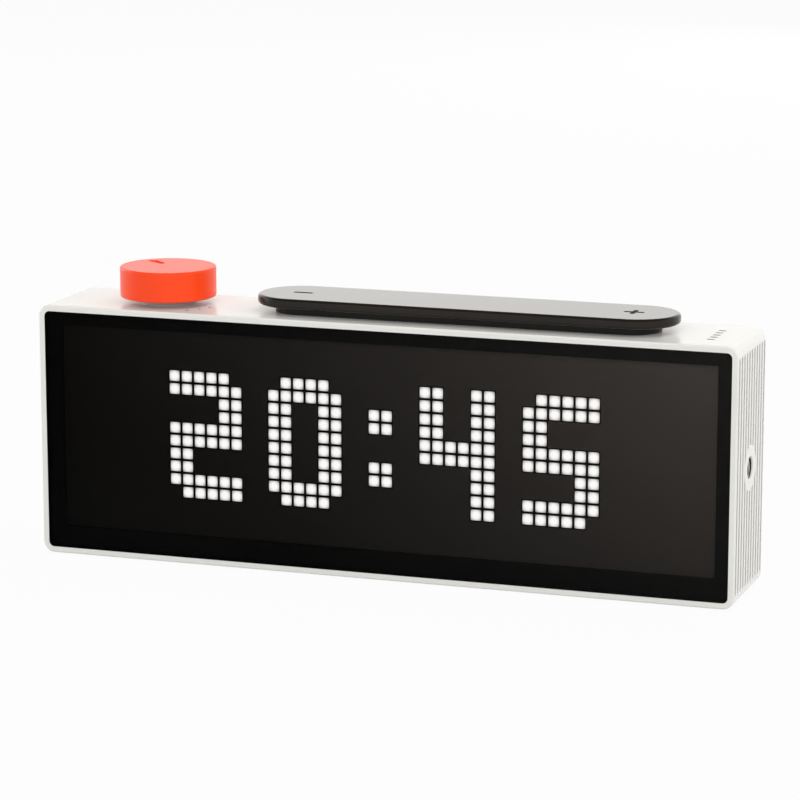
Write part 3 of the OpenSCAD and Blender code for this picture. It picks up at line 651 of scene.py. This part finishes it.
def makeSideThread():
    s = sideThread
    low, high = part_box("mount_insert")
    length = s["pitch"] * s["turns"]
    tree, start, end = nodeTree("threadTurns", [
        ("Radius", "NodeSocketFloat"), ("Length", "NodeSocketFloat"), ("Turns", "NodeSocketFloat"),
        ("Steps", "NodeSocketInt"), ("Ridge", "NodeSocketFloat"), ("Finish", "NodeSocketMaterial")])
    helix = tree.nodes.new("GeometryNodeCurveSpiral")
    ridge = tree.nodes.new("GeometryNodeCurvePrimitiveCircle")
    ridge.inputs["Resolution"].default_value = s["ridgeSides"]
    sweep = tree.nodes.new("GeometryNodeCurveToMesh")
    sweep.inputs["Fill Caps"].default_value = True
    lay = tree.nodes.new("GeometryNodeTransform")  # along the bore, up to the inset behind its mouth
    lay.inputs["Rotation"].default_value = (0, math.radians(90), 0)
    lay.inputs["Translation"].default_value = (high.x - s["inset"] - length, 0, (low.z + high.z) / 2)
    for source, target in (("Radius", "Start Radius"), ("Radius", "End Radius"), ("Length", "Height"),
                           ("Turns", "Rotations"), ("Steps", "Resolution")):
        tree.links.new(start.outputs[source], helix.inputs[target])
    tree.links.new(start.outputs["Ridge"], ridge.inputs["Radius"])
    tree.links.new(helix.outputs["Curve"], sweep.inputs["Curve"])
    tree.links.new(ridge.outputs["Curve"], sweep.inputs["Profile Curve"])
    tree.links.new(sweep.outputs["Mesh"], lay.inputs["Geometry"])
    endTree(tree, start, end, lay.outputs["Geometry"])
    piece = growTree("side_thread", [(0, 0, 0)], tree, {
        "Radius": s["radius"], "Length": length, "Turns": s["turns"],
        "Steps": s["steps"], "Ridge": s["ridge"], "Finish": threadSteel})
    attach(piece, "case")
    print("side thread:", len(piece.data.polygons), "faces")


makeSideThread()


# Cover screws with a cross recess in each head
coverScrews = {
    "headRadius": 2.2 * mm, "headHeight": 1.4 * mm, "round": 0.25 * mm, "roundShare": 0.3,
    "slot": 2.6 * mm, "slotWidth": 0.62 * mm, "slotDepth": 0.75 * mm, "segments": 40,
}


def screwForm():
    s = coverScrews
    count, radius, share = s["segments"], s["headRadius"], s["roundShare"] * s["round"]
    rims = [
        (radius - s["round"], 0), (radius - share, -share), (radius, -s["round"]), (radius, -s["headHeight"]),
    ]
    turns = [2 * math.pi * i / count for i in range(count)]
    mesh = bmesh.new()
    rings = [[mesh.verts.new((r * math.cos(t), r * math.sin(t), z)) for t in turns] for r, z in rims]
    for upper, lower in zip(rings, rings[1:]):
        bridge(mesh, lower, upper)
    mesh.faces.new(list(reversed(rings[-1])))
    half, reach = s["slotWidth"] / 2, s["slot"] / 2
    corners = []
    for arm in range(4):
        spin = Matrix.Rotation(math.pi / 2 * arm, 3, "Z")
        corners += [spin @ Vector(p) for p in ((reach, -half, 0), (reach, half, 0), (half, half, 0))]
    edge = [mesh.verts.new(p) for p in corners]
    floor = [mesh.verts.new(p - Vector((0, 0, s["slotDepth"]))) for p in corners]
    mesh.faces.new(floor)
    bridge(mesh, edge, floor)
    quarter = count // 4
    for arm in range(4):  # flat top between the cross and the rim
        first, second, inner = edge[3 * arm:3 * arm + 3]
        onward = edge[(3 * arm + 3) % len(edge)]
        rim = [rings[0][(arm * quarter + k) % count] for k in range(-1, quarter)]
        mesh.faces.new([first] + rim[:3] + [second])
        mesh.faces.new([second] + rim[2:] + [onward, inner])
    return closedPiece("screwHead", mesh)


def makeCoverScrews():
    r = coverScrews["headRadius"]
    low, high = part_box("cover_screws")
    form = screwForm()
    tree, start, end = nodeTree("screwRow", [("Head", "NodeSocketObject"), ("Finish", "NodeSocketMaterial")])
    head = tree.nodes.new("GeometryNodeObjectInfo")
    face = tree.nodes.new("GeometryNodeTransform")  # heads face the back
    face.inputs["Rotation"].default_value = (math.radians(-90), 0, 0)
    tree.links.new(start.outputs["Head"], head.inputs["Object"])
    tree.links.new(head.outputs["Geometry"], face.inputs["Geometry"])
    endTree(tree, start, end, spreadOn(tree, start, face.outputs["Geometry"]))
    points = [(x, high.y, z) for x in (low.x + r, high.x - r) for z in (low.z + r, high.z - r)]
    piece = growTree("rear_screws", points, tree, {"Head": form, "Finish": steel})
    bpy.data.objects.remove(form)
    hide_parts("cover_screws")
    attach(piece, "case")
    print("rear screws:", len(piece.data.polygons), "faces")


makeCoverScrews()


# Dark plugs in the sound slits and the small holes of the top: painted shade standing in for the dark inside
# of the holes
topPlugs = {
    "slitInset": 10.75 * mm, "slitPitch": 3.6 * mm, "slitCount": 5, "slitSize": (2.36 * mm, 1.06 * mm),
    "dotReach": 16.1 * mm, "dotAngle": -32.0, "dotStep": 15.2, "dotCount": 3,
    "dotSize": (1.04 * mm, 1.04 * mm), "roundShare": 0.499, "cornerSteps": 5,
    "sink": 0.03 * mm, "height": 1.2 * mm,
}
# Near-black painted shade for the inside of the slits and holes
paintedShadePlug = {
    "color": (0.008, 0.0078, 0.0075), "specular": 0.1,
    "mottle": {"dark": 0.6, "light": 1.4, "scale": 5000},
    "spread": {"low": 0.7, "high": 0.9, "scale": 900},
}


def plugTree():
    tree, start, end = nodeTree("topPlug", [
        ("Length", "NodeSocketFloat"), ("Width", "NodeSocketFloat"), ("Round", "NodeSocketFloat"),
        ("Height", "NodeSocketFloat"), ("Finish", "NodeSocketMaterial")])
    sizes = [start.outputs[label] for label in ("Length", "Width", "Round")]
    raised = tree.nodes.new("GeometryNodeExtrudeMesh")
    raised.inputs["Individual"].default_value = False
    tree.links.new(roundedFace(tree, *sizes, topPlugs["cornerSteps"]), raised.inputs["Mesh"])
    tree.links.new(start.outputs["Height"], raised.inputs["Offset Scale"])
    endTree(tree, start, end, spreadOn(tree, start, raised.outputs["Mesh"]))
    return tree


def makeTopPlugs():
    s = topPlugs
    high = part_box("housing")[1]
    knobLow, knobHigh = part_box("knob")
    knobX = (knobLow.x + knobHigh.x) / 2
    base = high.z - s["sink"] - s["height"]
    middle = (s["slitCount"] - 1) / 2
    slits = [(high.x - s["slitInset"], (i - middle) * s["slitPitch"], base) for i in range(s["slitCount"])]
    dots = []
    for i in range(s["dotCount"]):
        angle = math.radians(s["dotAngle"] + (i - (s["dotCount"] - 1) / 2) * s["dotStep"])
        dots.append((knobX + s["dotReach"] * math.cos(angle), s["dotReach"] * math.sin(angle), base))
    finish = layeredFinish("paintedShadePlug", paintedShadePlug)
    tree = plugTree()
    for name, points, size in (("slit_plugs", slits, s["slitSize"]), ("dot_plugs", dots, s["dotSize"])):
        piece = growTree(name, points, tree, {
            "Length": size[0], "Width": size[1], "Round": s["roundShare"] * size[1],
            "Height": s["height"], "Finish": finish})
        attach(piece, "case")
    print("top plugs:", len(slits) + len(dots))


makeTopPlugs()


# Studio: pale floor, white surroundings and soft lamps
studio = {
    "floorSize": 14.0, "floorShare": 0.96, "fill": 0.28, "wallTop": 0.5, "ceilingFrom": 0.75, "ceiling": 0.06,
}
paleFloor = {"color": (0.62, 0.62, 0.62), "roughness": 1.0, "specular": 0.0}


def seenDirectly(tree):
    path = tree.nodes.new("ShaderNodeLightPath")
    seen = mathStep(tree, "MAXIMUM", path.outputs["Is Camera Ray"], path.outputs["Is Glossy Ray"])
    return mathStep(tree, "MAXIMUM", seen, path.outputs["Is Transmission Ray"])


def makeWorld():
    s = studio
    world = bpy.data.worlds.new("studioWhite")
    world.use_nodes = True
    bpy.context.scene.world = world
    tree = world.node_tree
    background = tree.nodes["Background"]
    background.inputs["Color"].default_value = (1, 1, 1, 1)
    upward = placeOn(tree, "Generated")["Z"]  # white walls, and a dimmer ceiling
    height = rangeStep(tree, upward, (s["wallTop"], s["ceilingFrom"]), (1.0, s["ceiling"]))
    level = tree.nodes.new("ShaderNodeMix")
    level.inputs["A"].default_value = s["fill"]
    tree.links.new(height.outputs["Result"], level.inputs["B"])
    tree.links.new(seenDirectly(tree), level.inputs["Factor"])
    tree.links.new(level.outputs["Result"], background.inputs["Strength"])


def makeFloor():
    half = studio["floorSize"] / 2
    corners = [(-half, -half, 0), (half, -half, 0), (half, half, 0), (-half, half, 0)]
    mesh = bpy.data.meshes.new("studioFloor")
    mesh.from_pydata(corners, [], [(0, 1, 2, 3)])
    floor = meshPiece("studioFloor", mesh)
    finish, shader = newFinish("floorPale", paleFloor)
    tree = finish.node_tree
    white = tree.nodes.new("ShaderNodeEmission")
    blend = tree.nodes.new("ShaderNodeMixShader")  # the rest keeps the object's shadow
    tree.links.new(mathStep(tree, "MULTIPLY", seenDirectly(tree), studio["floorShare"]), blend.inputs["Fac"])
    tree.links.new(shader.outputs["BSDF"], blend.inputs[1])
    tree.links.new(white.outputs["Emission"], blend.inputs[2])
    tree.links.new(blend.outputs["Shader"], tree.nodes["Material Output"].inputs["Surface"])
    mesh.materials.append(finish)


# Soft lamps; only the mirrored ones show in the gloss of the part
lampAim = (0, 0, 0.05)
lamps = {
    "overhead": {"place": (0.45, 0.15, 1.3), "size": (1.1, 0.9), "watts": 4.0},
    "low": {"place": (-0.35, -1.7, 0.42), "size": (1.6, 0.5), "watts": 7.2},
    "front": {"place": (0.0, -1.4, 1.08), "size": (1.5, 1.2), "watts": 10.6},
    "right": {"place": (1.51, -0.13, 0.54), "size": (1.0, 0.6), "watts": 10.8},
    "left": {"place": (-1.55, 0.27, 0.33), "size": (1.5, 0.6), "watts": 7.0, "mirrored": True},
    "back": {"place": (0.3, 1.6, 0.35), "size": (1.2, 0.5), "watts": 10},
    "behind": {"place": (-0.5, 1.5, 0.42), "size": (1.5, 0.5), "watts": 1.4, "mirrored": True,
               "tint": (1, 0.94, 0.87)},
}


def aimAlong(item, direction):
    item.rotation_euler = Vector(direction).to_track_quat("-Z", "Y").to_euler()


def makeLamps():
    for name, s in lamps.items():
        light = bpy.data.lights.new(name, "AREA")
        light.shape = "RECTANGLE"
        light.size, light.size_y = s["size"]
        light.energy = s["watts"]
        light.color = s.get("tint", (1, 1, 1))
        lamp = bpy.data.objects.new(name, light)
        lamp.location = s["place"]
        aimAlong(lamp, Vector(lampAim) - Vector(s["place"]))
        lamp.visible_camera = False
        lamp.visible_glossy = s.get("mirrored", False)
        bpy.context.scene.collection.objects.link(lamp)


# Camera, from the photograph's own perspective
photoCamera = {
    "place": (331.10 * mm, -958.78 * mm, 260.40 * mm), "toward": (-0.31686, 0.92519, -0.20886),
    "focalPixels": 3440.0, "framePixels": 800.0, "centrePixels": (404.5, 429.0), "sensor": 36.0,
    "clip": (0.01, 100.0),
}


def makeCamera():
    s = photoCamera
    data = bpy.data.cameras.new("photoCamera")
    data.sensor_fit = "HORIZONTAL"
    data.sensor_width = s["sensor"]
    data.lens = s["sensor"] * s["focalPixels"] / s["framePixels"]
    data.shift_x = 0.5 - s["centrePixels"][0] / s["framePixels"]
    data.shift_y = s["centrePixels"][1] / s["framePixels"] - 0.5
    data.clip_start, data.clip_end = s["clip"]
    camera = bpy.data.objects.new("photoCamera", data)
    camera.location = s["place"]
    aimAlong(camera, s["toward"])
    bpy.context.scene.collection.objects.link(camera)
    bpy.context.scene.camera = camera


makeWorld()
makeFloor()
makeLamps()
makeCamera()
bpy.context.scene.view_settings.view_transform = "Standard"
print("studio: floor, lamps and camera set")
